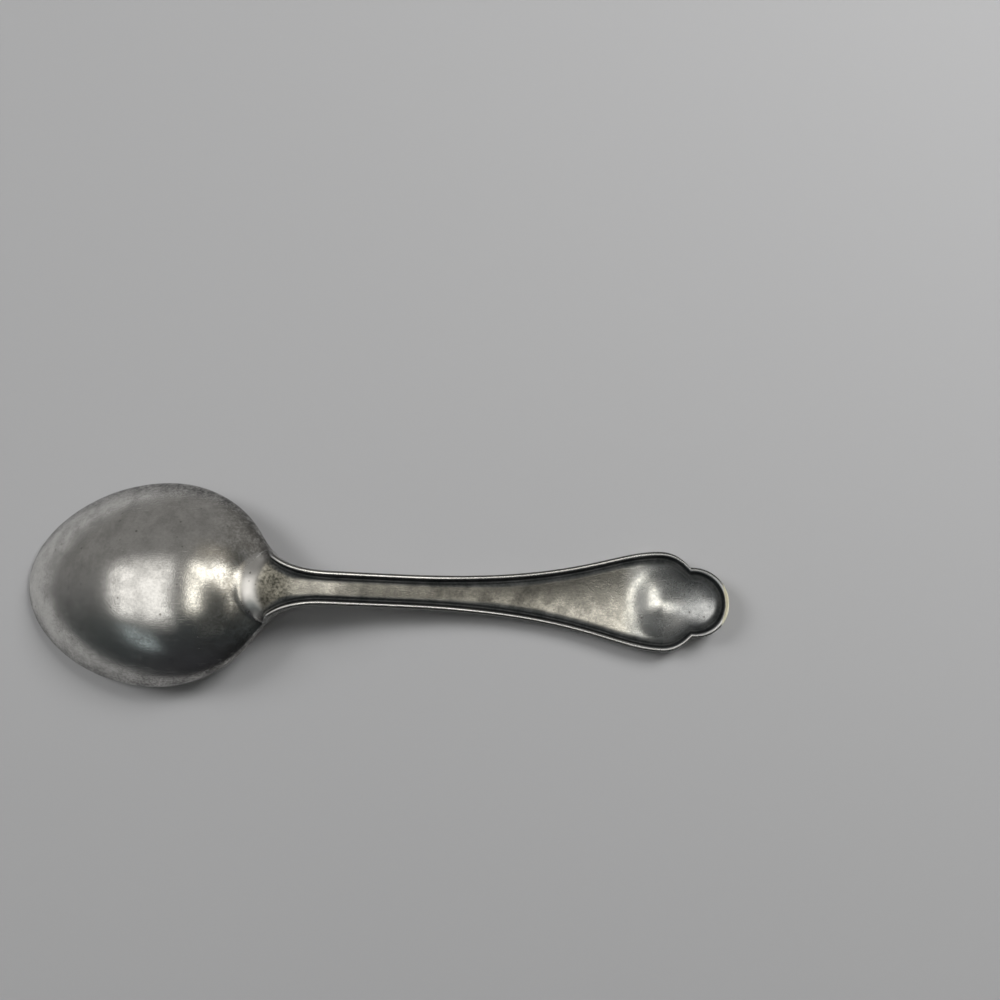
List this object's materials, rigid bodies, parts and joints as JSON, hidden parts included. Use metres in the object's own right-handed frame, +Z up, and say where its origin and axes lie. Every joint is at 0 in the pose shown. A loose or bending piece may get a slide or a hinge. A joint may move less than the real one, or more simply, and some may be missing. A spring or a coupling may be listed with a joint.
{
  "type": "baby spoon",
  "caption": "Short silver-plated baby spoon lying bowl down, with a broad bowl, a drop on its back, a slim stem and a bordered handle end with notched shoulders.",
  "frame": {"origin": "middle of the spoon's length and width, on the table that it lies on", "axes": "+X from the tip of the bowl to the end of the handle, +Y across the spoon, +Z up from the table; the spoon lies bowl down, so its back faces +Z"},
  "size_m": [0.108, 0.031, 0.011],
  "materials": {
    "base_metal": "struck nickel-brass, bare only at the worn end of the handle",
    "silver": "worn silver plate, polished on the bowl and crests, tarnished in the channels and on the drop"
  },
  "bodies": {
    "root": {"base_metal_blank": "base_metal", "silver_plate": "silver"}
  },
  "joints": []
}
